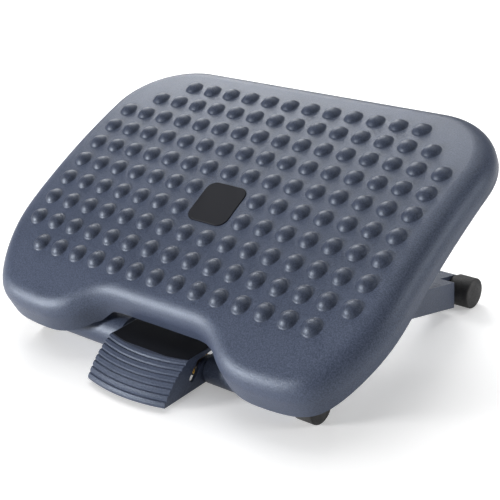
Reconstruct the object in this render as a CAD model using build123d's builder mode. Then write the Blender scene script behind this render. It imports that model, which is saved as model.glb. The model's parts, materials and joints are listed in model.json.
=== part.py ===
import math
import os

from build123d import *

os.makedirs("parts", exist_ok=True)

# Driving dimensions in millimetres and degrees.
# +X is the sitter's right, +Y is the high back of the deck, +Z is up, and the floor is at zero.
tilt = 26.0                 # slope of the deck as pictured
wheelbase = 254.0           # front bar axis to rear bar axis
half_span = 171.5           # middle to the outer face of a rubber cap
bar_height = 15.0           # bar axes above the floor
cap_radius = 15.4           # over the bar height, so that each cap has a flat on the floor
cap_length = 24.0
bar_radius = 13.5
core_radius = 8.0
pedal_reach = 70.0          # pedal tip ahead of the front bar axis
pivot_back = 20.0           # tilt hinge behind the front bar axis
pivot_height = 78.0         # tilt hinge above the floor
deck_behind_pivot = 104.0   # deck middle from the tilt hinge, along the deck
deck_above_pivot = 29.0
fit = 0.05                  # radial play of a running fit
gap = 0.3                   # air between faces that pass each other

# Deck moulding
deck_half_width = 226.0
deck_back = 155.0
back_corner = 82.0
lobe_front = 179.0
lobe_middle = 130.0         # sideways distance of a front lobe's tip
scoop_front = 146.0
scoop_half_width = 46.0
arch_radius = 765.0
edge_radius = 20.0
skin = 3.2
side_straight_front = -40.0  # where the side starts to draw in
shoulder_upper = (3.0, 102.0)   # in from the side, ahead of the middle
shoulder_lower = (26.0, 157.0)
lobe_inner = (88.0, 167.0)      # between a lobe's tip and the scoop
upper_lean = (1.0, 0.2)         # how the wall's thickness runs inwards at those three points
lower_lean = (0.8, 0.6)
inner_lean = (0.6, 0.8)
form_low = 120.0            # the outline is raised from this far under the deck
form_tall = 140.0
profile_reach = 230.0       # the side profile's arcs run past the deck by this much
skirt_back_depth = 56.0
skirt_middle = (20.0, 28.0)
skirt_front_depth = 71.0
cavity_drop = 60.0          # the hollow runs out below the skirt
scoop_rim = (58.0, 33.0)    # half width and depth where the front edge leaves the level
scoop_foot = (128.0, 90.0)
dome_columns = 16
dome_rows = 10
dome_pitch = 25.4
dome_row_pitch = 26.1
dome_radius = 10.7          # of the sphere that a dome follows
dome_height = 5.2
dome_levels = (-1.4, 2.6, 4.9)  # rings of a dome, from its root in the skin to its flat crown
dome_sides = 8
plate_size = 47.0
plate_thickness = 1.6
plate_corner = 10.0
plate_bevel = 0.4
plate_seat = 1.0            # depth of the badge recess
plate_row = 6.5             # the badge plate sits between rows six and seven
rib_thickness = 2.6
rib_bottom = -20.0
rib_length = 250.0
rib_rise = 40.0             # ribs and bosses are drawn tall and trimmed to the skin
rib_columns = (-84.0, -42.0, 42.0, 84.0)
rib_rows = (-30.0, 40.0, 105.0)

# Hinge hardware
arm_inner = 136.0
arm_outer = 163.0
hub_radius = 11.0
bush_radius = 7.5
bush_flange = 2.2
bush_flange_radius = 9.5
pin_radius = 5.0
lug_thickness = 5.0
bracket_plate = 3.0
bracket_clear = 1.2         # hub to the bracket plate
bracket_ear = 10.5
bracket_front = 11.0
bracket_back = 26.0
lug_foot = 24.0             # lug's width where it meets the bracket plate
lug_shift = 3.0             # foot's middle behind the hinge
screw_out = 13.0            # screws to the sides of an arm
screw_ahead = 6.0           # screws ahead of the hinge, and behind it
screw_behind = 20.0
foot_screw_out = 11.0       # screws of the quadrant's foot
foot_screw_behind = 12.0
screw_sides = 8
head_sides = 6
screw_radius = 2.0
screw_head_radius = 3.6
screw_head = 2.4
screw_bite = 2.2            # length of screw in the deck boss
boss_radius = 4.6

# Brake
quadrant_radius = 34.0
quadrant_half_thick = 3.0
quadrant_foot = (32.0, 30.0)
quadrant_neck = (11.0, 16.0)    # ahead of and behind the hinge, at the foot
quadrant_hole = 7.0
hole_drop = 6.0
pad_angle = -80.0           # where the pad faces the quadrant, seen from the side
pad_half_angle = 9.0
pad_thickness = 2.5
holder_radius = 5.0         # end of the lever behind the pad
holder_back = 3.4
lever_back = 40.0           # lever pivot from the front bar axis
lever_height = 33.0
lever_half_thick = 4.0
tail_back = 60.0            # where the pedal finger meets the lever tail
tail_height = 28.0
tail_radius = 3.0
post_half_width = 11.0
post_radius = 12.0
lever_pin_radius = 3.0
lever_boss_wall = 3.0
pin_proud = 0.8

# Pedal
pedal_half_width = 48.0
pedal_wall = 3.0
pedal_top = 36.0
pedal_bottom = 5.0
pedal_top_front = 35.0      # top edge ahead of the front bar axis, at the middle
pedal_top_back = 9.0
pedal_bow = 177.0           # plan radius of the ridges
bow_sweep = 72.0            # degrees, enough for the pedal's width
pedal_bulge = 3.4           # how far the ribbed face stands out of its chord
ridges = 8
ridge_height = 1.3
label_half_width = 44.0
label_thickness = 1.0
web_inner = 13.0
web_outer = 19.0
pedal_boss_radius = 11.5
pedal_bush_radius = 10.0
journal_length = 6.0
label_depth = 36.0
label_middle = 12.0         # ahead of the front bar axis
label_margin = 3.0          # top edge to the label
slot_low = (26.0, 2.0)      # side slot: ahead of and above the front bar axis
slot_bend = (15.0, 13.0)
slot_back = (-12.0, 15.0)
slot_radius = 3.4
slot_back_radius = 3.0
stop_half_width = 8.0       # lug that rests on the lock post
stop_front = 2.0            # behind the front bar axis

# Pedal return spring
wire_radius = 0.9
coil_radius = 10.2
coil_pitch = 2.6            # from turn to turn
coil_quarters = 8           # quarter turns
wire_sides = 6
leg_back = 17.0
leg_front = 34.0
leg_seat_length = 8.0
leg_seat_half_width = 3.0
collar_thickness = 6.0
collar_wall = 4.0
collar_clear = 11.0         # web to the collar
coil_clear = 3.0            # collar to the first turn
peg_back = 16.0             # behind the front bar axis
peg_radius = 3.0
peg_length = 6.0

# Positions that follow
front_y = (pedal_reach - wheelbase - cap_radius) / 2
rear_y = front_y + wheelbase
bar_z = bar_height
pivot_y = front_y + pivot_back
pivot_z = pivot_height
lever_y = front_y + lever_back
lean = math.radians(tilt)
deck_y = pivot_y + deck_behind_pivot * math.cos(lean) - deck_above_pivot * math.sin(lean)
deck_z = pivot_z + deck_behind_pivot * math.sin(lean) + deck_above_pivot * math.cos(lean)
deck = Plane(origin=(0, deck_y, deck_z), x_dir=(1, 0, 0), z_dir=(0, -math.sin(lean), math.cos(lean)))
deck_side = Plane(origin=deck.origin, x_dir=deck.y_dir, z_dir=(1, 0, 0))
deck_up = Axis(deck.origin, deck.z_dir)
side = Plane.YZ
hinge_y = -deck_behind_pivot
hinge_z = -deck_above_pivot
tail_y = front_y + tail_back
finger_z = tail_height - 2 * tail_radius - gap
collar_start = web_inner + collar_clear
collar_end = collar_start + collar_thickness
coil_start = collar_end + coil_clear
coil_end = coil_start + coil_pitch * coil_quarters / 4
leg_top = bar_z + coil_radius + wire_radius
journals = (
    (-pedal_half_width, -pedal_half_width + journal_length),
    (-web_outer, -web_inner),
    (pedal_half_width - journal_length, pedal_half_width),
)


def deck_height(s):
    return -(arch_radius - math.sqrt(arch_radius ** 2 - s ** 2))


def on_circle(centre_y, centre_z, radius, angle):
    return (
        centre_y + radius * math.cos(math.radians(angle)),
        centre_z + radius * math.sin(math.radians(angle)),
    )


def deck_solid(inset, bottom_drop):
    # the deck's outer form, drawn in by an even wall and lengthened downwards
    half_width = deck_half_width - inset
    back_y = deck_back - inset
    scoop_y = inset - scoop_front
    with BuildPart() as body:
        with BuildSketch(deck.offset(-form_low)):
            with BuildLine():
                back = Line((0, back_y), (deck_half_width - back_corner, back_y))
                corner = RadiusArc(back @ 1, (half_width, deck_back - back_corner), back_corner - inset)
                flank = Line(corner @ 1, (half_width, side_straight_front))
                shoulder = Spline(
                    flank @ 1,
                    (
                        deck_half_width - shoulder_upper[0] - upper_lean[0] * inset,
                        upper_lean[1] * inset - shoulder_upper[1],
                    ),
                    (
                        deck_half_width - shoulder_lower[0] - lower_lean[0] * inset,
                        lower_lean[1] * inset - shoulder_lower[1],
                    ),
                    (lobe_middle, inset - lobe_front),
                    tangents=[(0, -1), (-1, 0)],
                )
                lobe = Spline(
                    shoulder @ 1,
                    (lobe_inner[0] + inner_lean[0] * inset, inner_lean[1] * inset - lobe_inner[1]),
                    (scoop_half_width, scoop_y),
                    tangents=[(-1, 0), (-1, 0)],
                )
                Line(lobe @ 1, (0, scoop_y))
                mirror(about=Plane.YZ)
            make_face()
        extrude(amount=form_tall)
        with BuildSketch(deck_side):
            with BuildLine():
                top = ThreePointArc(
                    (-profile_reach, deck_height(profile_reach) - inset),
                    (0, -inset),
                    (profile_reach, deck_height(profile_reach) - inset),
                )
                bottom = ThreePointArc(
                    (profile_reach, -skirt_back_depth - bottom_drop),
                    (skirt_middle[0], -skirt_middle[1] - bottom_drop),
                    (-profile_reach, -skirt_front_depth - bottom_drop),
                )
                Line(top @ 1, bottom @ 0)
                Line(bottom @ 1, top @ 0)
            make_face()
        extrude(amount=2 * deck_half_width, both=True, mode=Mode.INTERSECT)
        top_face = body.faces().sort_by(deck_up)[-1]
        fillet(top_face.edges(), edge_radius - inset)
    return body.part


# Deck moulding: an arched skin with a rolled edge, domes, ribs and screw bosses
screw_spots = []
for sign in (-1, 1):
    for reach in (arm_inner - screw_out, arm_outer + screw_out):
        for along in (hinge_y - screw_ahead, hinge_y + screw_behind):
            screw_spots.append((sign * reach, along))
for across in (-foot_screw_out, foot_screw_out):
    for along in (hinge_y - screw_ahead, hinge_y + foot_screw_behind):
        screw_spots.append((across, along))
seat_z = hinge_z + hub_radius + bracket_clear + bracket_plate

deck_form = deck_solid(0, 0)
cavity = deck_solid(skin, cavity_drop)
rib_room = deck_solid(skin / 2, cavity_drop)

dome_places = []
for row in range(1, dome_rows + 1):
    trim = {1: 2, 2: 1, dome_rows: 1}.get(row, 0)
    for column in range(1 + trim, dome_columns + 1 - trim):
        under_plate = row in (6, 7) and column in (8, 9)
        if not under_plate:
            x = (column - (dome_columns + 1) / 2) * dome_pitch
            turn = ((dome_rows + 1) / 2 - row) * dome_row_pitch / arch_radius
            dome_places.append(
                deck.location
                * Location(
                    (x, arch_radius * math.sin(turn), arch_radius * math.cos(turn) - arch_radius),
                    (-math.degrees(turn), 0, 0),
                )
            )


def dome_ring(level):
    ring_radius = math.sqrt(dome_radius ** 2 - (dome_radius - dome_height + level) ** 2)
    corners = []
    for number in range(dome_sides):
        turn = 2 * math.pi * number / dome_sides
        corners.append(Vector(ring_radius * math.cos(turn), ring_radius * math.sin(turn), level))
    return corners


rings = [dome_ring(level) for level in dome_levels]
flats = [Face(Wire.make_polygon(rings[0])), Face(Wire.make_polygon(rings[-1]))]
for lower, upper in zip(rings, rings[1:]):
    for number in range(dome_sides):
        flat_corners = (lower[number - 1], lower[number], upper[number], upper[number - 1])
        flats.append(Face(Wire.make_polygon(flat_corners)))
with BuildPart() as dome:
    add(Solid(Shell(flats)))

plate_turn = ((dome_rows + 1) / 2 - plate_row) * dome_row_pitch / arch_radius
plate_plane = Plane(
    deck.location
    * Location(
        (0, arch_radius * math.sin(plate_turn), arch_radius * math.cos(plate_turn) - arch_radius),
        (-math.degrees(plate_turn), 0, 0),
    )
)

with BuildPart() as rib_grid:
    with BuildSketch(deck.offset(rib_bottom)):
        for x in rib_columns:
            with Locations((x, 0)):
                Rectangle(rib_thickness, rib_length)
        for y in rib_rows:
            with Locations((0, y)):
                Rectangle(2 * deck_half_width, rib_thickness)
    extrude(amount=rib_rise)
    with BuildSketch(deck.offset(seat_z)):
        with Locations(*screw_spots):
            RegularPolygon(boss_radius, screw_sides)
    extrude(amount=rib_rise)
    add(rib_room, mode=Mode.INTERSECT)
    with BuildSketch(deck.offset(seat_z)):
        with Locations(*screw_spots):
            RegularPolygon(screw_radius + fit, screw_sides)
    extrude(amount=screw_bite + gap, mode=Mode.SUBTRACT)

with BuildPart() as platform:
    add(deck_form)
    with Locations(*dome_places):
        add(dome.part)
    add(cavity, mode=Mode.SUBTRACT)
    with BuildSketch(Plane(origin=deck.origin, x_dir=(1, 0, 0), z_dir=-deck.y_dir)):
        Polygon(
            (-scoop_rim[0], -scoop_rim[1]),
            (scoop_rim[0], -scoop_rim[1]),
            (scoop_foot[0], -scoop_foot[1]),
            (-scoop_foot[0], -scoop_foot[1]),
            align=None,
        )
    extrude(amount=2 * scoop_front, mode=Mode.SUBTRACT)
    add(rib_grid.part)
    with BuildSketch(plate_plane.offset(-plate_seat)):
        RectangleRounded(plate_size + 2 * gap, plate_size + 2 * gap, plate_corner)
    extrude(amount=plate_seat + dome_height, mode=Mode.SUBTRACT)
platform.part.label = "platform"
export_step(platform.part, "parts/platform.step")

# Badge plate: a bare black square set into the deck
with BuildPart() as badge_plate:
    with BuildSketch(plate_plane.offset(-plate_seat)):
        RectangleRounded(plate_size, plate_size, plate_corner)
    extrude(amount=plate_thickness)
    chamfer(badge_plate.faces().sort_by(deck_up)[-1].edges(), plate_bevel)
badge_plate.part.label = "badge_plate"
export_step(badge_plate.part, "parts/badge_plate.step")

# Hinge brackets: a clevis under the deck on each side, screwed to its bosses
lug_inner = arm_inner - bush_flange - gap
lug_outer = arm_outer + bush_flange + gap
plate_bottom = seat_z - bracket_plate
with BuildPart() as hinge_brackets:
    with BuildSketch(deck.offset(plate_bottom)):
        with Locations(((lug_inner + lug_outer) / 2, hinge_y + (bracket_back - bracket_front) / 2)):
            Rectangle(lug_outer - lug_inner + 2 * (lug_thickness + bracket_ear), bracket_back + bracket_front)
    extrude(amount=bracket_plate)
    for lug_start in (lug_inner - lug_thickness, lug_outer):
        with BuildSketch(deck_side.offset(lug_start)):
            with Locations((hinge_y, hinge_z)):
                Circle(hub_radius)
            with Locations((hinge_y + lug_shift, plate_bottom)):
                Rectangle(lug_foot, bracket_plate / 2)
            make_hull()
        extrude(amount=lug_thickness)
    with BuildSketch(deck_side.offset(lug_inner - lug_thickness)):
        with Locations((hinge_y, hinge_z)):
            Circle(pin_radius)
    extrude(amount=lug_outer - lug_inner + 2 * lug_thickness, mode=Mode.SUBTRACT)
    with BuildSketch(deck.offset(plate_bottom)):
        with Locations(*[spot for spot in screw_spots if spot[0] > arm_inner / 2]):
            RegularPolygon(screw_radius + fit, screw_sides)
    extrude(amount=bracket_plate, mode=Mode.SUBTRACT)
    mirror(about=Plane.YZ)
hinge_brackets.part.label = "hinge_brackets"
export_step(hinge_brackets.part, "parts/hinge_brackets.step")

# Screws that hold the brackets and the brake quadrant to the deck
with BuildPart() as deck_screws:
    with BuildSketch(deck.offset(plate_bottom)):
        with Locations(*screw_spots):
            RegularPolygon(screw_radius, screw_sides)
    extrude(amount=bracket_plate + screw_bite)
    with BuildSketch(deck.offset(plate_bottom)):
        with Locations(*screw_spots):
            RegularPolygon(screw_head_radius, head_sides)
    extrude(amount=-screw_head)
deck_screws.part.label = "deck_screws"
export_step(deck_screws.part, "parts/deck_screws.step")

# Pivot pins with a head outside and a retaining clip inside
head_thickness = 3.0
head_radius = 8.0
head_bevel = 0.8
clip_thickness = 1.4
clip_radius = 7.5
clip_mouth = 5.0
pin_tail = 2.0              # pin beyond its clip
pin_start = lug_inner - lug_thickness - clip_thickness - pin_tail
pin_end = lug_outer + lug_thickness
with BuildPart() as pivot_pins:
    with BuildSketch(side.offset(pin_start)):
        with Locations((pivot_y, pivot_z)):
            Circle(pin_radius)
    extrude(amount=pin_end - pin_start)
    with BuildSketch(side.offset(pin_end)):
        with Locations((pivot_y, pivot_z)):
            Circle(head_radius)
    extrude(amount=head_thickness)
    chamfer(pivot_pins.faces().sort_by(Axis.X)[-1].edges(), head_bevel)
    mirror(about=Plane.YZ)
pivot_pins.part.label = "pivot_pins"
export_step(pivot_pins.part, "parts/pivot_pins.step")

with BuildPart() as pin_clips:
    with BuildSketch(side.offset(lug_inner - lug_thickness - clip_thickness)):
        with Locations((pivot_y, pivot_z)):
            Circle(clip_radius)
            Circle(pin_radius, mode=Mode.SUBTRACT)
        with Locations((pivot_y, pivot_z - clip_radius)):
            Rectangle(clip_mouth, clip_radius, mode=Mode.SUBTRACT)
    extrude(amount=clip_thickness)
    mirror(about=Plane.YZ)
pin_clips.part.label = "pin_clips"
export_step(pin_clips.part, "parts/pin_clips.step")

# Side frames: hub, long rear arm and short front leg in one moulding
arm_clear = 9.0             # frame's outer half to the rear cap, and to the front cap
leg_clear = 2.0
cap_start = half_span - cap_length
frame_collar_end = cap_start - gap
arm_end_y = rear_y - cap_radius - arm_clear
leg_end_z = bar_z + cap_radius + leg_clear
arm_run = math.hypot(rear_y - pivot_y, pivot_z - bar_z)
arm_slope = math.asin((bar_radius - hub_radius) / arm_run) - math.atan2(pivot_z - bar_z, rear_y - pivot_y)
arm_normal = (0, -math.sin(arm_slope), math.cos(arm_slope))
arm_top = Plane(
    origin=(0, pivot_y + hub_radius * arm_normal[1], pivot_z + hub_radius * arm_normal[2]),
    x_dir=(1, 0, 0),
    z_dir=arm_normal,
)
arm_middle = (arm_inner + arm_outer) / 2
lid_start = 42.0
lid_length = 150.0
lid_thickness = 3.0
lid_groove = 0.5
lid_wall = 2.5              # arm's wall beside the lid
lid_width = arm_outer - arm_inner - 2 * lid_wall
ledge = 2.5
channel_depth = 15.0
with BuildPart() as right_side_frame:
    with BuildSketch(side.offset(arm_inner)):
        with Locations((pivot_y, pivot_z)):
            Circle(hub_radius)
        with Locations((rear_y, bar_z)):
            Circle(bar_radius)
        make_hull()
    extrude(amount=arm_outer - arm_inner)
    with BuildSketch(side.offset(arm_inner)):
        with Locations((pivot_y, pivot_z)):
            Circle(hub_radius)
        with Locations((front_y, bar_z)):
            Circle(bar_radius)
        make_hull()
    extrude(amount=arm_outer - arm_inner)
    with BuildSketch(side.offset(frame_collar_end)):
        with Locations((arm_end_y + pivot_z / 2, bar_z)):
            Rectangle(pivot_z, 2 * pivot_z)
        with Locations((front_y, leg_end_z - pivot_z / 2)):
            Rectangle(2 * pivot_z, pivot_z)
    extrude(amount=arm_outer, mode=Mode.SUBTRACT)
    with BuildSketch(arm_top):
        with Locations((arm_middle, lid_start + lid_length / 2)):
            Rectangle(lid_width + 2 * lid_groove, lid_length + 2 * lid_groove)
    extrude(amount=-lid_thickness, mode=Mode.SUBTRACT)
    with BuildSketch(arm_top):
        with Locations((arm_middle, lid_start + lid_length / 2)):
            Rectangle(lid_width - 2 * ledge, lid_length - 2 * ledge)
    extrude(amount=-channel_depth, mode=Mode.SUBTRACT)
    with BuildSketch(side.offset(arm_inner)):
        with Locations((pivot_y, pivot_z)):
            Circle(bush_radius)
        with Locations((front_y, bar_z), (rear_y, bar_z)):
            Circle(core_radius)
    extrude(amount=arm_outer - arm_inner, mode=Mode.SUBTRACT)
right_side_frame.part.label = "right_side_frame"
export_step(right_side_frame.part, "parts/right_side_frame.step")

with BuildPart() as left_side_frame:
    mirror(right_side_frame.part, about=Plane.YZ)
left_side_frame.part.label = "left_side_frame"
export_step(left_side_frame.part, "parts/left_side_frame.step")

# Lids that close the channels of the rear arms
with BuildPart() as right_arm_lid:
    with BuildSketch(arm_top.offset(-lid_thickness)):
        with Locations((arm_middle, lid_start + lid_length / 2)):
            Rectangle(lid_width, lid_length)
    extrude(amount=lid_thickness)
right_arm_lid.part.label = "right_arm_lid"
export_step(right_arm_lid.part, "parts/right_arm_lid.step")

with BuildPart() as left_arm_lid:
    mirror(right_arm_lid.part, about=Plane.YZ)
left_arm_lid.part.label = "left_arm_lid"
export_step(left_arm_lid.part, "parts/left_arm_lid.step")

# Flanged bushes that the pivot pins turn in
with BuildPart() as hub_bushes:
    with BuildSketch(side.offset(arm_inner - bush_flange)):
        with Locations((pivot_y, pivot_z)):
            Circle(bush_flange_radius)
    extrude(amount=bush_flange)
    with BuildSketch(side.offset(arm_outer)):
        with Locations((pivot_y, pivot_z)):
            Circle(bush_flange_radius)
    extrude(amount=bush_flange)
    with BuildSketch(side.offset(arm_inner)):
        with Locations((pivot_y, pivot_z)):
            Circle(bush_radius)
    extrude(amount=(arm_outer - arm_inner - gap) / 2)
    with BuildSketch(side.offset(arm_outer)):
        with Locations((pivot_y, pivot_z)):
            Circle(bush_radius)
    extrude(amount=-(arm_outer - arm_inner - gap) / 2)
    with BuildSketch(side.offset(arm_inner - bush_flange)):
        with Locations((pivot_y, pivot_z)):
            Circle(pin_radius + fit)
    extrude(amount=arm_outer - arm_inner + 2 * bush_flange, mode=Mode.SUBTRACT)
    mirror(about=Plane.YZ)
hub_bushes.part.label = "hub_bushes"
export_step(hub_bushes.part, "parts/hub_bushes.step")

# Bars: a steel core tube at front and rear, clad in moulded sleeves
cap_floor = 5.0             # rubber beyond a core's end
core_wall = 1.5
core_end = half_span - cap_floor
with BuildPart() as front_core:
    with BuildSketch(side.offset(-core_end)):
        with Locations((front_y, bar_z)):
            Circle(core_radius)
            Circle(core_radius - core_wall, mode=Mode.SUBTRACT)
    extrude(amount=2 * core_end)
front_core.part.label = "front_core"
export_step(front_core.part, "parts/front_core.step")

with BuildPart() as rear_core:
    with BuildSketch(side.offset(-core_end)):
        with Locations((rear_y, bar_z)):
            Circle(core_radius)
            Circle(core_radius - core_wall, mode=Mode.SUBTRACT)
    extrude(amount=2 * core_end)
rear_core.part.label = "rear_core"
export_step(rear_core.part, "parts/rear_core.step")

sleeve_clear = 4.0          # pedal to the front sleeves
sleeve_bevel = 3.5
sleeve_start = pedal_half_width + sleeve_clear
with BuildPart() as right_front_sleeve:
    with BuildSketch(side.offset(sleeve_start)):
        with Locations((front_y, bar_z)):
            Circle(bar_radius)
    extrude(amount=arm_inner - sleeve_start)
    chamfer(right_front_sleeve.faces().sort_by(Axis.X)[0].edges(), sleeve_bevel)
    with BuildSketch(side.offset(sleeve_start)):
        with Locations((front_y, bar_z)):
            Circle(core_radius)
    extrude(amount=arm_inner - sleeve_start, mode=Mode.SUBTRACT)
right_front_sleeve.part.label = "right_front_sleeve"
export_step(right_front_sleeve.part, "parts/right_front_sleeve.step")

with BuildPart() as left_front_sleeve:
    mirror(right_front_sleeve.part, about=Plane.YZ)
left_front_sleeve.part.label = "left_front_sleeve"
export_step(left_front_sleeve.part, "parts/left_front_sleeve.step")

with BuildPart() as rear_sleeve:
    with BuildSketch(side.offset(-arm_inner)):
        with Locations((rear_y, bar_z)):
            Circle(bar_radius)
            Circle(core_radius, mode=Mode.SUBTRACT)
    extrude(amount=2 * arm_inner)
rear_sleeve.part.label = "rear_sleeve"
export_step(rear_sleeve.part, "parts/rear_sleeve.step")

# Rubber caps: slightly flared, with a rounded rim, a flat to stand on and a blind bore
cap_flare = 1.2
cap_lip = 10.0              # length at the cap's full radius
cap_rim = 1.6
cap_neck = cap_radius - cap_flare


def make_cap(bar_y):
    axis_plane = Plane(origin=(0, bar_y, bar_z), x_dir=(1, 0, 0), z_dir=(0, 0, 1))
    with BuildPart() as cap:
        with BuildSketch(axis_plane):
            with BuildLine():
                Polyline(
                    (cap_start, core_radius),
                    (cap_start, cap_neck - cap_rim),
                    (cap_start + cap_rim, cap_neck),
                    (half_span - cap_lip, cap_radius),
                    (half_span - cap_rim, cap_radius),
                    (half_span, cap_radius - cap_rim),
                    (half_span, 0),
                    (core_end, 0),
                    (core_end, core_radius),
                    close=True,
                )
            make_face()
        revolve(axis=Axis((0, bar_y, bar_z), (1, 0, 0)))
        split(bisect_by=Plane.XY, keep=Keep.TOP)
    return cap.part


front_cap_form = make_cap(front_y)
rear_cap_form = make_cap(rear_y)

with BuildPart() as front_caps:
    add(front_cap_form)
    mirror(about=Plane.YZ)
front_caps.part.label = "front_caps"
export_step(front_caps.part, "parts/front_caps.step")

with BuildPart() as rear_caps:
    add(rear_cap_form)
    mirror(about=Plane.YZ)
rear_caps.part.label = "rear_caps"
export_step(rear_caps.part, "parts/rear_caps.step")

# Brake quadrant: a toothless steel sector under the deck, concentric with the tilt hinge
quadrant_lead = 9.0         # spare arc past each end of the travel, degrees
pad_on_deck = pad_angle - tilt
quadrant_low = pad_on_deck - pad_half_angle - quadrant_lead
quadrant_high = pad_on_deck + tilt + pad_half_angle + quadrant_lead
with BuildPart() as brake_quadrant:
    with BuildSketch(deck.offset(plate_bottom)):
        with Locations((0, hinge_y + lug_shift)):
            Rectangle(quadrant_foot[0], quadrant_foot[1])
    extrude(amount=bracket_plate)
    with BuildSketch(deck_side.offset(-quadrant_half_thick)):
        with BuildLine():
            rim = ThreePointArc(
                on_circle(hinge_y, hinge_z, quadrant_radius, quadrant_low),
                on_circle(hinge_y, hinge_z, quadrant_radius, (quadrant_low + quadrant_high) / 2),
                on_circle(hinge_y, hinge_z, quadrant_radius, quadrant_high),
            )
            Polyline(
                rim @ 1,
                (hinge_y + quadrant_neck[1], plate_bottom),
                (hinge_y - quadrant_neck[0], plate_bottom),
                rim @ 0,
            )
        make_face()
        with Locations((hinge_y, hinge_z - hole_drop)):
            Circle(quadrant_hole, mode=Mode.SUBTRACT)
    extrude(amount=2 * quadrant_half_thick)
    with BuildSketch(deck.offset(plate_bottom)):
        with Locations(*[spot for spot in screw_spots if abs(spot[0]) < arm_inner / 2]):
            RegularPolygon(screw_radius + fit, screw_sides)
    extrude(amount=bracket_plate, mode=Mode.SUBTRACT)
brake_quadrant.part.label = "brake_quadrant"
export_step(brake_quadrant.part, "parts/brake_quadrant.step")

# Lock post: stands on the front core tube and carries the brake lever
post_slot = lever_half_thick + gap
post_wall = 4.0             # round the lever's pin
post_nose = lever_pin_radius + post_wall
post_web = 1.5              # wall left between the front core and the lever's slot
leaf_y = front_y + post_radius + post_web
post_run = math.hypot(lever_y - front_y, lever_height - bar_z)
post_slope = math.atan2(lever_height - bar_z, lever_y - front_y)
post_slope = post_slope - math.asin((post_radius - post_nose) / post_run)


def post_top(behind):
    # height of the post's upper flank behind the front bar axis
    return bar_z + post_radius / math.cos(post_slope) + behind * math.tan(post_slope)


with BuildPart() as lock_post:
    with BuildSketch(side.offset(-post_half_width)):
        with Locations((front_y, bar_z)):
            Circle(post_radius)
        with Locations((lever_y, lever_height)):
            Circle(post_nose)
        make_hull()
    extrude(amount=2 * post_half_width)
    with BuildSketch(side.offset(-post_slot)):
        with Locations((leaf_y + post_run, lever_height)):
            Rectangle(2 * post_run, 2 * post_run)
    extrude(amount=2 * post_slot, mode=Mode.SUBTRACT)
    with BuildSketch(side.offset(-post_half_width)):
        with Locations((front_y, bar_z)):
            Circle(core_radius)
        with Locations((lever_y, lever_height)):
            Circle(lever_pin_radius)
    extrude(amount=2 * post_half_width, mode=Mode.SUBTRACT)
lock_post.part.label = "lock_post"
export_step(lock_post.part, "parts/lock_post.step")

with BuildPart() as lever_pin:
    with BuildSketch(side.offset(-post_half_width - pin_proud)):
        with Locations((lever_y, lever_height)):
            Circle(lever_pin_radius)
    extrude(amount=2 * (post_half_width + pin_proud))
lever_pin.part.label = "lever_pin"
export_step(lever_pin.part, "parts/lever_pin.step")

# Brake lever and its friction pad
pad_inner = quadrant_radius + gap
pad_outer = pad_inner + pad_thickness
lever_boss = lever_pin_radius + lever_boss_wall
pad_back_y, pad_back_z = on_circle(pivot_y, pivot_z, pad_outer + holder_back, pad_angle)
with BuildPart() as brake_lever:
    with BuildSketch(side.offset(-lever_half_thick)):
        with Locations((lever_y, lever_height)):
            Circle(lever_boss)
        with Locations((pad_back_y, pad_back_z)):
            Circle(holder_radius)
        make_hull()
    extrude(amount=2 * lever_half_thick)
    with BuildSketch(side.offset(-lever_half_thick)):
        with Locations((lever_y, lever_height)):
            Circle(lever_boss)
        with Locations((tail_y, tail_height)):
            Circle(tail_radius)
        make_hull()
    extrude(amount=2 * lever_half_thick)
    with BuildSketch(side.offset(-lever_half_thick)):
        with Locations((pivot_y, pivot_z)):
            Circle(pad_outer)
        with Locations((lever_y, lever_height)):
            Circle(lever_pin_radius + fit)
    extrude(amount=2 * lever_half_thick, mode=Mode.SUBTRACT)
brake_lever.part.label = "brake_lever"
export_step(brake_lever.part, "parts/brake_lever.step")

with BuildPart() as brake_pad:
    with BuildSketch(side.offset(-lever_half_thick)):
        with BuildLine():
            inner = ThreePointArc(
                on_circle(pivot_y, pivot_z, pad_inner, pad_angle - pad_half_angle),
                on_circle(pivot_y, pivot_z, pad_inner, pad_angle),
                on_circle(pivot_y, pivot_z, pad_inner, pad_angle + pad_half_angle),
            )
            outer = ThreePointArc(
                on_circle(pivot_y, pivot_z, pad_outer, pad_angle - pad_half_angle),
                on_circle(pivot_y, pivot_z, pad_outer, pad_angle),
                on_circle(pivot_y, pivot_z, pad_outer, pad_angle + pad_half_angle),
            )
            Line(inner @ 0, outer @ 0)
            Line(inner @ 1, outer @ 1)
        make_face()
    extrude(amount=2 * lever_half_thick)
brake_pad.part.label = "brake_pad"
export_step(brake_pad.part, "parts/brake_pad.step")

# Leaf spring that lifts the brake lever against the quadrant
leaf = 0.8
leaf_half_width = 3.0
leaf_foot = 2.0             # below the bar axis
leaf_bend = 11.6            # above the bar axis
leaf_tip = (11.6, 17.0)     # behind the post's web and above the bar axis
leaf_slope = (leaf_tip[1] - leaf_bend) / (leaf_tip[0] - leaf)
leaf_rise = leaf * math.hypot(1, leaf_slope)
with BuildPart() as lever_spring:
    with BuildSketch(side.offset(-leaf_half_width)):
        Polygon(
            (leaf_y, bar_z - leaf_foot),
            (leaf_y + leaf, bar_z - leaf_foot),
            (leaf_y + leaf, bar_z + leaf_bend),
            (leaf_y + leaf_tip[0], bar_z + leaf_tip[1]),
            (leaf_y + leaf_tip[0], bar_z + leaf_tip[1] + leaf_rise),
            (leaf_y, bar_z + leaf_bend - leaf * leaf_slope + leaf_rise),
            align=None,
        )
    extrude(amount=2 * leaf_half_width)
lever_spring.part.label = "lever_spring"
export_step(lever_spring.part, "parts/lever_spring.step")

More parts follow.
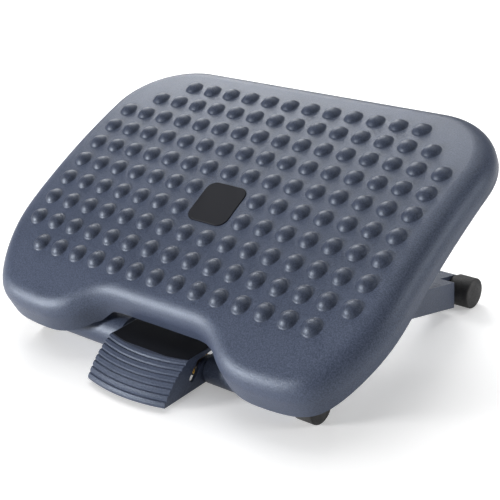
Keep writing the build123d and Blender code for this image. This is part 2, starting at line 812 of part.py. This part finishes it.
# Pedal: a hollow treadle with bowed ridges, turning on the front core tube
bow_y = front_y - pedal_reach + pedal_bow
bow_axis = Axis((0, bow_y, 0), (0, 0, 1))
bow_turn = math.radians(bow_sweep / 2)
bow_plane = Plane(
    origin=(0, bow_y, 0),
    x_dir=(math.sin(bow_turn), math.cos(bow_turn), 0),
    z_dir=(math.cos(bow_turn), -math.sin(bow_turn), 0),
)
pedal_back = front_y + pedal_top_back - bow_y
label_front_radius = pedal_bow - pedal_reach + pedal_top_front - label_margin
crest_start = (front_y - pedal_top_front - bow_y, pedal_top)
crest_end = (front_y - pedal_reach - bow_y, pedal_bottom)
chord = math.hypot(crest_end[0] - crest_start[0], crest_end[1] - crest_start[1])
face_normal = ((crest_end[1] - crest_start[1]) / chord, (crest_start[0] - crest_end[0]) / chord)


def face_point(share, lift):
    # a point on the bulging ribbed face, lifted off it square to the chord
    out = 4 * pedal_bulge * share * (1 - share) + lift
    return (
        crest_start[0] + (crest_end[0] - crest_start[0]) * share + face_normal[0] * out,
        crest_start[1] + (crest_end[1] - crest_start[1]) * share + face_normal[1] * out,
    )


with BuildPart() as pedal_hollow:
    with BuildSketch(bow_plane):
        with BuildLine():
            under = ThreePointArc(
                face_point(0.06, -pedal_wall),
                face_point(0.5, -pedal_wall),
                face_point(1.05, -pedal_wall),
            )
            Polyline(
                under @ 1,
                (pedal_back + 1, (under @ 1).Y),
                (pedal_back + 1, pedal_top - pedal_wall),
                ((under @ 0).X, pedal_top - pedal_wall),
                under @ 0,
            )
        make_face()
    revolve(axis=bow_axis, revolution_arc=bow_sweep)
    with BuildSketch(Plane.XY):
        with Locations((0, front_y)):
            Rectangle(2 * (pedal_half_width - pedal_wall), 3 * pedal_reach)
        with Locations((-(web_inner + web_outer) / 2, front_y)):
            Rectangle(web_outer - web_inner, 3 * pedal_reach, mode=Mode.SUBTRACT)
    extrude(amount=2 * pedal_top, mode=Mode.INTERSECT)

with BuildPart() as pedal:
    with BuildSketch(bow_plane):
        with BuildLine():
            for step in range(ridges):
                Polyline(
                    face_point(step / ridges, 0),
                    face_point((step + 0.25) / ridges, ridge_height),
                    face_point((step + 0.75) / ridges, ridge_height),
                    face_point((step + 1) / ridges, 0),
                )
            Polyline(
                crest_end,
                (pedal_back, pedal_bottom),
                (pedal_back, pedal_top),
                crest_start,
            )
        make_face()
    revolve(axis=bow_axis, revolution_arc=bow_sweep)
    with BuildSketch(Plane.XY):
        with Locations((0, front_y + pedal_top_back + 1 - pedal_reach)):
            Rectangle(2 * pedal_half_width, 2 * pedal_reach)
    extrude(amount=2 * pedal_top, mode=Mode.INTERSECT)
    add(pedal_hollow.part, mode=Mode.SUBTRACT)
    for start, end in journals:
        with BuildSketch(side.offset(start)):
            with Locations((front_y, bar_z)):
                Circle(pedal_boss_radius)
        extrude(amount=end - start)
    with BuildSketch(side.offset(-web_outer)):
        with Locations((front_y, bar_z)):
            Circle(pedal_boss_radius)
        with Locations((tail_y, finger_z)):
            Circle(tail_radius)
        make_hull()
    extrude(amount=web_outer - web_inner)
    with BuildSketch(side.offset(-web_outer)):
        with Locations((tail_y, finger_z)):
            Circle(tail_radius)
    extrude(amount=web_outer + lever_half_thick)
    with BuildSketch(side.offset(-pedal_half_width)):
        with Locations((front_y, bar_z)):
            Circle(pedal_bush_radius)
    extrude(amount=2 * pedal_half_width, mode=Mode.SUBTRACT)
    with BuildSketch(side.offset(-pedal_half_width)):
        with Locations((front_y - slot_low[0], bar_z + slot_low[1]), (front_y - slot_bend[0], bar_z + slot_bend[1])):
            Circle(slot_radius)
        make_hull()
    extrude(amount=2 * pedal_half_width, mode=Mode.SUBTRACT)
    with BuildSketch(side.offset(-pedal_half_width)):
        with Locations((front_y - slot_bend[0], bar_z + slot_bend[1])):
            Circle(slot_back_radius)
        with Locations((front_y - slot_back[0], bar_z + slot_back[1])):
            Circle(slot_back_radius)
        make_hull()
    extrude(amount=2 * pedal_half_width, mode=Mode.SUBTRACT)
    with BuildSketch(side.offset(-stop_half_width)):
        Polygon(
            (front_y + stop_front, pedal_top - pedal_wall),
            (front_y + pedal_top_back, pedal_top - pedal_wall),
            (front_y + pedal_top_back, post_top(pedal_top_back) + gap),
            (front_y + stop_front, post_top(stop_front) + gap),
            align=None,
        )
    extrude(amount=2 * stop_half_width)
    with BuildSketch(Plane.XY.offset(leg_top)):
        with Locations((coil_end, front_y - leg_front + leg_seat_length / 2)):
            Rectangle(2 * leg_seat_half_width, leg_seat_length)
    extrude(amount=pedal_top - pedal_wall - leg_top)
    with BuildSketch(Plane.XY.offset(pedal_top - label_thickness)):
        with Locations((0, front_y - label_middle)):
            Rectangle(2 * label_half_width + 2 * fit, label_depth + 2 * fit)
        with Locations((0, bow_y)):
            Circle(label_front_radius + fit, mode=Mode.INTERSECT)
    extrude(amount=label_thickness, mode=Mode.SUBTRACT)
pedal.part.label = "pedal"
export_step(pedal.part, "parts/pedal.step")

# Bare black plate on the pedal's top
with BuildPart() as pedal_label:
    with BuildSketch(Plane.XY.offset(pedal_top - label_thickness)):
        with Locations((0, front_y - label_middle)):
            Rectangle(2 * label_half_width, label_depth)
        with Locations((0, bow_y)):
            Circle(label_front_radius, mode=Mode.INTERSECT)
    extrude(amount=label_thickness)
pedal_label.part.label = "pedal_label"
export_step(pedal_label.part, "parts/pedal_label.step")

# Bushes between the pedal and the core tube
with BuildPart() as pedal_bushes:
    for start, end in journals:
        with BuildSketch(side.offset(start)):
            with Locations((front_y, bar_z)):
                Circle(pedal_bush_radius)
                Circle(core_radius + fit, mode=Mode.SUBTRACT)
        extrude(amount=end - start)
pedal_bushes.part.label = "pedal_bushes"
export_step(pedal_bushes.part, "parts/pedal_bushes.step")

# Collar that anchors the pedal spring on the core tube
with BuildPart() as spring_collar:
    with BuildSketch(side.offset(collar_start)):
        with Locations((front_y, bar_z)):
            Circle(core_radius + collar_wall)
        with Locations((front_y + peg_back, leg_top + peg_radius)):
            Circle(peg_radius)
        make_hull()
    extrude(amount=collar_thickness)
    with BuildSketch(side.offset(collar_end)):
        with Locations((front_y + peg_back, leg_top + peg_radius / 2)):
            Rectangle(2 * peg_radius, peg_radius)
    extrude(amount=peg_length)
    with BuildSketch(side.offset(collar_start)):
        with Locations((front_y, bar_z)):
            Circle(core_radius)
    extrude(amount=collar_thickness, mode=Mode.SUBTRACT)
spring_collar.part.label = "spring_collar"
export_step(spring_collar.part, "parts/spring_collar.step")

# Pedal return spring: two close coils round the core tube with a leg to each side
def coil_point(quarter):
    turn = math.radians(90 * (quarter + 1))
    return Vector(
        coil_start + coil_pitch * quarter / 4,
        front_y + coil_radius * math.cos(turn),
        bar_z + coil_radius * math.sin(turn),
    )


def coil_heading(quarter):
    turn = math.radians(90 * (quarter + 1))
    around = coil_radius * math.pi / 2
    heading = Vector(coil_pitch / 4, -around * math.sin(turn), around * math.cos(turn))
    return heading.normalized()


def arc_pair(start, start_heading, end, end_heading):
    # two arcs that meet smoothly halfway
    across = end - start
    both = start_heading + end_heading
    square = 2 * (1 - start_heading.dot(end_heading))
    reach = (math.sqrt(across.dot(both) ** 2 + square * across.dot(across)) - across.dot(both)) / square
    first_corner = start + start_heading * reach
    second_corner = end - end_heading * reach
    middle = (first_corner + second_corner) * 0.5
    TangentArc(start, middle, tangent=start_heading)
    TangentArc(middle, end, tangent=second_corner - first_corner)


with BuildPart() as pedal_spring:
    with BuildLine() as wire:
        Line(coil_point(0) - coil_heading(0) * leg_back, coil_point(0))
        for quarter in range(coil_quarters):
            arc_pair(
                coil_point(quarter),
                coil_heading(quarter),
                coil_point(quarter + 1),
                coil_heading(quarter + 1),
            )
        last = coil_point(coil_quarters)
        Line(last, last + coil_heading(coil_quarters) * leg_front)
    path = wire.wires()[0]
    with BuildSketch(Plane(origin=path @ 0, z_dir=path % 0)):
        RegularPolygon(wire_radius, wire_sides)
    sweep(path=path)
pedal_spring.part.label = "pedal_spring"
export_step(pedal_spring.part, "parts/pedal_spring.step")

samples = 300
spots = [path @ (step / samples) for step in range(samples + 1)]
apart = math.ceil(samples * math.pi * coil_radius / path.length)
least = min(
    (spots[i] - spots[j]).length for i in range(samples + 1) for j in range(i + apart, samples + 1)
)
print("least gap of the spring to itself, in mm:", round(least - 2 * wire_radius, 2))
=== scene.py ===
import json
import math

import bmesh
import bpy
from mathutils import Euler, Matrix, Vector


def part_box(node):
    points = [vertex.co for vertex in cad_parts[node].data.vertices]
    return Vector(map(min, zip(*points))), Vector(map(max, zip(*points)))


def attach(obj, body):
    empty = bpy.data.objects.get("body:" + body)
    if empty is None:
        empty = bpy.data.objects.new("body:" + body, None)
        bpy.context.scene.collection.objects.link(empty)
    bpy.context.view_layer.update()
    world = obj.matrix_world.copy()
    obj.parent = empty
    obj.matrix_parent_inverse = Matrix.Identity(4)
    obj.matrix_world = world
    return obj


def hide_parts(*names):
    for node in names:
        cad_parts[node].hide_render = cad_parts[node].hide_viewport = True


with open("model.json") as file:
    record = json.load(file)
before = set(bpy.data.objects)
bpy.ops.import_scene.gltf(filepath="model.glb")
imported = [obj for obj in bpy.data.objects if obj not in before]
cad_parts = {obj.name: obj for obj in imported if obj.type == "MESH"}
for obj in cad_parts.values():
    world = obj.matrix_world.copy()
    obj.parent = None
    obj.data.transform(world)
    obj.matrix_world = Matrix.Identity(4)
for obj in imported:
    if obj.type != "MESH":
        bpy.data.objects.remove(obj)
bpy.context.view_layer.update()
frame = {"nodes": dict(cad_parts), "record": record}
nodes = frame["nodes"]
print("frame loaded:", len(nodes), "nodes")


class Signal:
    # a shader socket that takes part in plain arithmetic
    def __init__(self, tree, socket):
        self.tree = tree
        self.socket = socket

    def make(self, kind, inputs, output=0, **settings):
        node = self.tree.nodes.new(kind)
        for name, value in settings.items():
            setattr(node, name, value)
        for name, value in inputs.items():
            if isinstance(value, Signal):
                self.tree.links.new(value.socket, node.inputs[name])
            else:
                node.inputs[name].default_value = value
        return Signal(self.tree, node.outputs[output])

    def maths(self, operation, first, second):
        return self.make("ShaderNodeMath", {0: first, 1: second}, operation=operation)

    def __add__(self, other):
        return self.maths("ADD", self, other)

    def __radd__(self, other):
        return self.maths("ADD", other, self)

    def __mul__(self, other):
        return self.maths("MULTIPLY", self, other)

    def __rmul__(self, other):
        return self.maths("MULTIPLY", other, self)


noiseSpan = (0.3, 0.7)  # most values of a noise lie between these
black = (0, 0, 0, 1)
white = (1, 1, 1, 1)


def noise(where, scale, detail, rough=0.5):
    inputs = {"Vector": where, "Scale": scale, "Detail": detail, "Roughness": rough}
    return where.make("ShaderNodeTexNoise", inputs)


def ramp(signal, low, high, start=0.0, end=1.0):
    inputs = {"Value": signal, "From Min": low, "From Max": high, "To Min": start, "To Max": end}
    return signal.make("ShaderNodeMapRange", inputs, interpolation_type="SMOOTHSTEP")


def blendColours(share, first, second):
    inputs = {0: share, 6: first, 7: second}
    return share.make("ShaderNodeMix", inputs, output=2, data_type="RGBA")


def linear(hexCode):
    # an sRGB code as the linear colour that a shader takes
    channels = [int(hexCode[i:i + 2], 16) / 255 for i in (0, 2, 4)]
    return [c / 12.92 if c <= 0.04045 else ((c + 0.055) / 1.055) ** 2.4 for c in channels] + [1.0]


def newMaterial(name):
    material = bpy.data.materials.new(name)
    material.use_nodes = True
    tree = material.node_tree
    shader = tree.nodes["Principled BSDF"]
    coordinates = tree.nodes.new("ShaderNodeTexCoord")
    return material, shader, Signal(tree, coordinates.outputs["Object"])


def plug(shader, name, signal):
    signal.tree.links.new(signal.socket, shader.inputs[name])


def coat(shader, settings, share, wear, height, wearSpan=noiseSpan):
    # colour by share, roughness by wear, and a fine relief
    plug(shader, "Base Color", blendColours(share, linear(settings["dark"]), linear(settings["light"])))
    plug(shader, "Roughness", ramp(wear, *wearSpan, *settings["rough"]))
    distance, strength = settings["relief"]
    inputs = {"Height": height, "Distance": distance, "Strength": strength}
    plug(shader, "Normal", height.make("ShaderNodeBump", inputs))
    for name, value in settings.get("fixed", {}).items():
        shader.inputs[name].default_value = value


def cloudyMaterial(name, settings):
    # colour and roughness drift together, under a fine grain
    material, shader, where = newMaterial(name)
    cloud = noise(where, *settings["cloud"])
    coat(shader, settings, cloud, cloud, noise(where, *settings["grain"]))
    return material


def dress(material, slotName):
    for part in frame["record"]["subparts"]:
        if part["material_slot"] == slotName:
            nodes[part["node"]].material_slots[0].material = material


# In the finishes, a noise has its scale, detail and roughness, and a relief its depth and strength

# Slate plastic: moulded with a fine grain
slateSettings = {
    "dark": "293040",
    "light": "4a5266",
    "grain": (800, 3.0, 0.6),
    "cloud": (9, 3.0),
    "grainShare": 0.75,
    "rough": (0.36, 0.5),
    "relief": (0.0004, 0.7),
    "fixed": {"Specular Tint": (0.78, 0.87, 1.0, 1.0)},
}
slate, shader, where = newMaterial("slatePlastic")
grain = noise(where, *slateSettings["grain"])
cloud = noise(where, *slateSettings["cloud"])
grainShare = slateSettings["grainShare"]
tone = ramp(grain, *noiseSpan) * grainShare + ramp(cloud, *noiseSpan) * (1 - grainShare)
coat(shader, slateSettings, tone, grain, grain)
dress(slate, "slate_plastic")

# Shaded slate: the deck's slate painted darker on the domes, as painted shade where the grained flats
# around them catch more sheen
shadedSlateSettings = {
    "dark": "272d3b",
    "light": "3a4153",
    "grain": (800, 3.0, 0.6),
    "rough": (0.4, 0.52),
    "relief": (0.0002, 0.4),
    "fixed": {"Specular Tint": (0.78, 0.87, 1.0, 1.0)},
}
shadedSlate, shader, where = newMaterial("shadedDomeSlate")
grain = noise(where, *shadedSlateSettings["grain"])
coat(shader, shadedSlateSettings, ramp(grain, *noiseSpan), grain, grain)

# Black rubber of the end caps, with a little dust
rubberSettings = {
    "dark": "222223",
    "light": "434344",
    "grain": (900, 3.0, 0.6),
    "dust": (60, 4.0),
    "dustSpan": (0.45, 0.75),
    "rough": (0.62, 0.8),
    "relief": (0.0002, 0.5),
}
rubber, shader, where = newMaterial("blackRubber")
grain = noise(where, *rubberSettings["grain"])
dust = ramp(noise(where, *rubberSettings["dust"]), *rubberSettings["dustSpan"])
coat(shader, rubberSettings, dust, grain, grain)
dress(rubber, "black_rubber")

# Black plates on the deck and the pedal
plateSettings = {
    "dark": "101116",
    "light": "1b1d24",
    "grain": (2200, 2.0),
    "rough": (0.5, 0.62),
    "relief": (0.0001, 0.3),
    "fixed": {"Specular IOR Level": 0.12},
}
plate, shader, where = newMaterial("blackPlate")
grain = noise(where, *plateSettings["grain"])
coat(shader, plateSettings, grain, grain, grain)
dress(plate, "black_plate")

# Zinc plated steel of the hidden hardware
zincSettings = {
    "dark": "9a9ca0",
    "light": "c3c5c8",
    "streak": (240, 4.0, 0.65),
    "cloud": (35, 3.0),
    "rough": (0.26, 0.48),
    "relief": (0.00008, 0.4),
    "fixed": {"Metallic": 1.0},
}
zinc, shader, where = newMaterial("zincSteel")
streak = noise(where, *zincSettings["streak"])
coat(shader, zincSettings, noise(where, *zincSettings["cloud"]), streak, streak)
dress(zinc, "zinc_steel")

# Pale nylon of the hub bushes
nylonSettings = {
    "dark": "c9c6b8",
    "light": "d9d7cc",
    "cloud": (120, 3.0),
    "grain": (1200, 2.0),
    "rough": (0.4, 0.52),
    "relief": (0.0001, 0.3),
}
nylon = cloudyMaterial("paleNylon", nylonSettings)
dress(nylon, "pale_nylon")

# Grey nylon of the lock post, the spring collar and the pedal's bushes
postSettings = {
    "dark": "2c2e33",
    "light": "3a3d43",
    "cloud": (140, 3.0),
    "grain": (1300, 2.0),
    "rough": (0.44, 0.58),
    "relief": (0.00012, 0.35),
}
post = cloudyMaterial("greyNylon", postSettings)
dress(post, "grey_nylon")
nodes["pedal_bushes"].material_slots[0].material = post

# Friction lining of the brake, with flecks
liningSettings = {
    "dark": "1f1b18",
    "light": "6a5a48",
    "fleck": (1100, 4.0, 0.7),
    "fleckSpan": (0.58, 0.7),
    "rough": (0.85, 0.6),
    "relief": (0.0002, 0.5),
}
lining, shader, where = newMaterial("frictionLining")
fleck = ramp(noise(where, *liningSettings["fleck"]), *liningSettings["fleckSpan"])
coat(shader, liningSettings, fleck, fleck, fleck, wearSpan=(0.0, 1.0))
dress(lining, "friction_pad")

# Yellow zinc plated spring wire
wireSettings = {
    "dark": "a67f33",
    "light": "d9b566",
    "cloud": (260, 3.0),
    "grain": (900, 2.0),
    "rough": (0.22, 0.36),
    "relief": (0.00005, 0.3),
    "fixed": {"Metallic": 1.0},
}
wire = cloudyMaterial("goldenWire", wireSettings)
dress(wire, "golden_wire")
print("materials done")

weldDistance = 0.00001
sharpAngle = math.radians(35)


def only(kind, geometry):
    return [part for part in geometry if isinstance(part, kind)]


def weld(mesh, distance=weldDistance):
    bmesh.ops.remove_doubles(mesh, verts=mesh.verts[:], dist=distance)


def faceOutwards(mesh):
    bmesh.ops.recalc_face_normals(mesh, faces=mesh.faces[:])


def revolve(mesh, points, middle, axis, segments):
    verts = [mesh.verts.new(point) for point in points]
    edges = [mesh.edges.new(pair) for pair in zip(verts, verts[1:])]
    bmesh.ops.spin(mesh, geom=verts + edges, cent=middle, axis=axis, angle=2 * math.pi, steps=segments,
                   use_merge=True)


def addPiece(name, mesh, material, body):
    # sharp edges stay sharp, the rest is shaded smooth
    for edge in mesh.edges:
        edge.smooth = edge.calc_face_angle(0) < sharpAngle
    for face in mesh.faces:
        face.smooth = True
    data = bpy.data.meshes.new(name)
    mesh.to_mesh(data)
    mesh.free()
    data.materials.append(material)
    piece = bpy.data.objects.new(name, data)
    bpy.context.scene.collection.objects.link(piece)
    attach(piece, body)
    return piece


# Domes: smooth caps over the deck's few-faced ones
domeSettings = {
    "tilt": 26.0,
    "middle": (0, 0.00106, 0.14966),
    "archRadius": 0.765,
    "rows": 10,
    "columns": 16,
    "rowPitch": 0.0261,
    "pitch": 0.0254,
    "trim": {1: 2, 2: 1, 10: 1},  # domes left out at both ends of a row
    "badgeRows": (6, 7),
    "badgeColumns": (8, 9),
    "radius": 0.0107,
    "height": 0.0052,
    "flare": 0.0011,
    "flareSteps": ((1.9, -0.25), (1.0, 0.1), (0.4, 0.45)),  # out and up, in flares
    "rings": 7,
    "segments": 28,
    "weld": 0.00002,
}
tilt = Matrix.Rotation(math.radians(domeSettings["tilt"]), 4, "X")
deckFrame = Matrix.Translation(domeSettings["middle"]) @ tilt


def deckPlace(row, x):
    # a place on the arched deck, square to it
    angle = ((domeSettings["rows"] + 1) / 2 - row) * domeSettings["rowPitch"] / domeSettings["archRadius"]
    onArch = Matrix.Translation((x, 0, -domeSettings["archRadius"])) @ Matrix.Rotation(-angle, 4, "X")
    return deckFrame @ onArch @ Matrix.Translation((0, 0, domeSettings["archRadius"]))


def domeRadius(level):
    below = domeSettings["radius"] - domeSettings["height"] + level
    return math.sqrt(domeSettings["radius"] ** 2 - below ** 2)


flare = domeSettings["flare"]
points = [(domeRadius(flare) + out * flare, 0, up * flare) for out, up in domeSettings["flareSteps"]]
for ring in range(domeSettings["rings"]):
    share = math.sin(math.pi / 2 * ring / (domeSettings["rings"] - 1))
    level = flare + (domeSettings["height"] - flare) * share
    points.append((domeRadius(level), 0, level))
dome = bmesh.new()
revolve(dome, points, (0, 0, 0), (0, 0, 1), domeSettings["segments"])
weld(dome, domeSettings["weld"])
faceOutwards(dome)
oneDome = bpy.data.meshes.new("oneDome")
dome.to_mesh(oneDome)
dome.free()

allDomes = bmesh.new()
for row in range(1, domeSettings["rows"] + 1):
    trim = domeSettings["trim"].get(row, 0)
    for column in range(1 + trim, domeSettings["columns"] + 1 - trim):
        if row in domeSettings["badgeRows"] and column in domeSettings["badgeColumns"]:
            continue
        x = (column - (domeSettings["columns"] + 1) / 2) * domeSettings["pitch"]
        before = len(allDomes.verts)
        allDomes.from_mesh(oneDome)
        allDomes.verts.ensure_lookup_table()
        bmesh.ops.transform(allDomes, matrix=deckPlace(row, x), verts=allDomes.verts[before:])
bpy.data.meshes.remove(oneDome)
# the domes wear the darker slate: painted shade
addPiece("domes", allDomes, shadedSlate, "deck")
print("domes done")

# Scoop lip: draws the wall of the scoop further down
lipSettings = {
    "levelHalfWidth": 0.058,
    "footHalfWidth": 0.128,
    "levelDepth": 0.033,
    "footDepth": 0.09,
    "drop": 0.007,
    "frontStart": -0.1,
    "tolerance": 0.0001,
}


def lipShare(x):
    # one over the level part of the edge, none at its foot
    run = lipSettings["footHalfWidth"] - lipSettings["levelHalfWidth"]
    return min(1, max(0, (lipSettings["footHalfWidth"] - abs(x)) / run))


def onScoopEdge(point):
    fall = lipSettings["footDepth"] - lipSettings["levelDepth"]
    depth = lipSettings["levelDepth"] + fall * (1 - lipShare(point.x))
    return point.y < lipSettings["frontStart"] and abs(point.z + depth) < lipSettings["tolerance"]


lip = bmesh.new()
lip.from_mesh(nodes["platform"].data)
weld(lip)
bmesh.ops.transform(lip, matrix=deckFrame.inverted(), verts=lip.verts[:])
others = [face for face in lip.faces if not all(onScoopEdge(vert.co) for vert in face.verts)]
bmesh.ops.delete(lip, geom=others, context="FACES")
lowest = min(vert.co.z for vert in lip.verts)
grown = bmesh.ops.extrude_face_region(lip, geom=lip.faces[:])
for vert in only(bmesh.types.BMVert, grown["geom"]):
    vert.co.z = max(vert.co.z - lipSettings["drop"] * lipShare(vert.co.x), lowest)
bmesh.ops.dissolve_degenerate(lip, dist=weldDistance, edges=lip.edges[:])
faceOutwards(lip)
bmesh.ops.transform(lip, matrix=deckFrame, verts=lip.verts[:])
print("scoop lip:", len(lip.faces), "faces")
addPiece("scoopLip", lip, slate, "deck")

# Rubber caps: turned, with a bevelled inner end, a rounded rim and a flat to stand on
capSettings = {
    "outerFace": 0.1715,
    "length": 0.024,
    "radius": 0.0154,
    "noseLength": 0.005,
    "noseDepth": 0.0023,
    "rim": 0.0016,
    "rimSteps": 4,
    "axisHeight": 0.015,
    "coreRadius": 0.008,
    "coreEnd": 0.1665,
    "segments": 72,
    "cutTolerance": 0.000001,
}


def turnOnBar(mesh, profile, middle, segments):
    # turns a profile of (x, radius) points round a bar's axis
    points = [(x, middle.y, middle.z + radius) for x, radius in profile]
    revolve(mesh, points, middle, (1, 0, 0), segments)


def makeCaps(node):
    low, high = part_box(node)
    middle = Vector((0, (low.y + high.y) / 2, capSettings["axisHeight"]))
    start = capSettings["outerFace"] - capSettings["length"]
    profile = [
        (capSettings["coreEnd"], 0),
        (capSettings["coreEnd"], capSettings["coreRadius"]),
        (start, capSettings["coreRadius"]),
        (start, capSettings["radius"] - capSettings["noseDepth"]),
        (start + capSettings["noseLength"], capSettings["radius"]),
    ]
    for step in range(capSettings["rimSteps"] + 1):
        angle = math.pi / 2 * step / capSettings["rimSteps"]
        profile.append((
            capSettings["outerFace"] - capSettings["rim"] * (1 - math.sin(angle)),
            capSettings["radius"] - capSettings["rim"] * (1 - math.cos(angle)),
        ))
    profile.append((capSettings["outerFace"], 0))
    mesh = bmesh.new()
    for side in (-1, 1):
        turnOnBar(mesh, [(side * x, radius) for x, radius in profile], middle, capSettings["segments"])
    weld(mesh)
    cut = bmesh.ops.bisect_plane(mesh, geom=mesh.verts[:] + mesh.edges[:] + mesh.faces[:],
                                 dist=capSettings["cutTolerance"], plane_co=(0, 0, 0), plane_no=(0, 0, -1),
                                 clear_outer=True)
    bmesh.ops.edgeloop_fill(mesh, edges=only(bmesh.types.BMEdge, cut["geom_cut"]))
    faceOutwards(mesh)
    return mesh


for name, node in (("frontCaps", "front_caps"), ("rearCaps", "rear_caps")):
    caps = addPiece(name, makeCaps(node), rubber, "base")
    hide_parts(node)
print("caps done")

# Front sleeves: the right one plain, the left one a thicker drum that stands higher
sleeveSettings = {
    "rightStart": 0.0495,
    "leftStart": 0.051,
    "end": 0.1359,
    "coreRadius": 0.0081,
    "edge": 0.0006,
    "drumRadius": 0.018,
    "drumHeight": 0.02,
    "segments": 72,
}
low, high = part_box("right_front_sleeve")
barMiddle = (low + high) / 2
barRadius = (high.z - low.z) / 2
sleeves = bmesh.new()
turnOnBar(sleeves, [
    (sleeveSettings["end"], sleeveSettings["coreRadius"]),
    (sleeveSettings["rightStart"], sleeveSettings["coreRadius"]),
    (sleeveSettings["rightStart"], barRadius - sleeveSettings["edge"]),
    (sleeveSettings["rightStart"] + sleeveSettings["edge"], barRadius),
    (sleeveSettings["end"], barRadius),
    (sleeveSettings["end"], sleeveSettings["coreRadius"]),
], barMiddle, sleeveSettings["segments"])
weld(sleeves)
drumLoops = []
for radius, height in (
    (sleeveSettings["coreRadius"], barMiddle.z),
    (sleeveSettings["drumRadius"], sleeveSettings["drumHeight"]),
):
    place = Matrix.Translation((-sleeveSettings["leftStart"], barMiddle.y, height))
    circle = bmesh.ops.create_circle(sleeves, segments=sleeveSettings["segments"], radius=radius,
                                     matrix=place @ Matrix.Rotation(math.pi / 2, 4, "Y"))
    drumLoops += {edge for vert in circle["verts"] for edge in vert.link_edges}
drumFace = bmesh.ops.bridge_loops(sleeves, edges=drumLoops)["faces"]
drum = bmesh.ops.extrude_face_region(sleeves, geom=drumFace, use_keep_orig=True)
bmesh.ops.translate(sleeves, vec=(sleeveSettings["leftStart"] - sleeveSettings["end"], 0, 0),
                    verts=only(bmesh.types.BMVert, drum["geom"]))
faceOutwards(sleeves)
frontSleeves = addPiece("frontSleeves", sleeves, slate, "base")
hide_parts("right_front_sleeve", "left_front_sleeve")
print("front sleeves done")

# Pedal label: a bare black plate out to the pedal's edges
labelSettings = {"halfWidth": 0.0468, "forward": 0.003, "raise": 0.0003}
low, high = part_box("pedal_label")
label = bmesh.new()
label.from_mesh(nodes["pedal_label"].data)
weld(label)
back = Vector(((low.x + high.x) / 2, high.y, low.z))
wider = 2 * labelSettings["halfWidth"] / (high.x - low.x)
longer = 1 + labelSettings["forward"] / (high.y - low.y)
bmesh.ops.scale(label, vec=(wider, longer, 1), space=Matrix.Translation(-back), verts=label.verts[:])
bmesh.ops.translate(label, vec=(0, 0, labelSettings["raise"]), verts=label.verts[:])
pedalLabel = addPiece("pedalLabel", label, plate, "treadle")
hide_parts("pedal_label")
print("label done")

# Floor: its glow grows with distance, so that it runs into the white backdrop
floorSettings = {
    "reach": 6.0,
    "colour": (0.95, 0.95, 0.95, 1),
    "roughness": 0.9,
    "glowSpan": (0.8, 2.6),
    "nearGlow": 0.3,
    "farGlow": 1.0,
}
ground = bmesh.new()
bmesh.ops.create_grid(ground, x_segments=1, y_segments=1, size=floorSettings["reach"])
floorMesh = bpy.data.meshes.new("floor")
ground.to_mesh(floorMesh)
ground.free()
floor = bpy.data.objects.new("floor", floorMesh)
bpy.context.scene.collection.objects.link(floor)
floorPaint, shader, where = newMaterial("paleFloor")
shader.inputs["Base Color"].default_value = floorSettings["colour"]
shader.inputs["Roughness"].default_value = floorSettings["roughness"]
seen = where.make("ShaderNodeLightPath", {}, "Is Camera Ray")
mirrored = where.make("ShaderNodeLightPath", {}, "Is Glossy Ray")
away = where.make("ShaderNodeVectorMath", {0: where}, "Value", operation="LENGTH")
spread = ramp(away, *floorSettings["glowSpan"], floorSettings["nearGlow"], floorSettings["farGlow"])
glow = seen * spread + floorSettings["nearGlow"] * mirrored
plug(shader, "Emission Color", blendColours(glow, black, white))
shader.inputs["Emission Strength"].default_value = 1.0
floorMesh.materials.append(floorPaint)

# Sky: white where the camera sees it, dim as a light
skySettings = {"light": 0.28, "seen": 1.0}
world = bpy.data.worlds.new("studio")
world.use_nodes = True
background = world.node_tree.nodes["Background"]
background.inputs["Color"].default_value = white
sky = Signal(world.node_tree, background.outputs[0])
seenSky = sky.make("ShaderNodeLightPath", {}, "Is Camera Ray")
plug(background, "Strength", skySettings["light"] + (skySettings["seen"] - skySettings["light"]) * seenSky)
bpy.context.scene.world = world

# Lamps, all turned to the middle of the footrest
lampTarget = Vector((0, 0, 0.1))
lampSettings = {
    "overhead": {"place": (-0.3, 0.9, 2.6), "size": (2.6, 2.6), "power": 34},
    "backLeft": {"place": (-1.8, 1.5, 1.6), "size": (1.6, 1.0), "power": 40},
    "rightPanel": {"place": (2.6, 1.1, 1.0), "size": (1.0, 0.5), "power": 24},
    "frontLeft": {"place": (-1.5, -2.0, 0.4), "size": (0.6, 0.5), "power": 76},
}
for name, lamp in lampSettings.items():
    light = bpy.data.lights.new(name, "AREA")
    light.shape = "RECTANGLE"
    light.size, light.size_y = lamp["size"]
    light.energy = lamp["power"]
    lightObject = bpy.data.objects.new(name, light)
    lightObject.location = lamp["place"]
    aim = lampTarget - Vector(lamp["place"])
    lightObject.rotation_euler = aim.to_track_quat("-Z", "Y").to_euler()
    bpy.context.scene.collection.objects.link(lightObject)
print("stage done")

# Camera as in the photograph
cameraSettings = {
    "place": (0.7137, -0.8016, 0.5645),
    "turn": (65.689, 3.653, 39.336),
    "lens": 88.29,
    "sensor": 36,
}
cameraData = bpy.data.cameras.new("camera")
cameraData.sensor_width = cameraSettings["sensor"]
cameraData.lens = cameraSettings["lens"]
camera = bpy.data.objects.new("camera", cameraData)
camera.location = cameraSettings["place"]
camera.rotation_euler = Euler([math.radians(angle) for angle in cameraSettings["turn"]], "XYZ")
bpy.context.scene.collection.objects.link(camera)
bpy.context.scene.camera = camera
bpy.context.scene.view_settings.view_transform = "Standard"
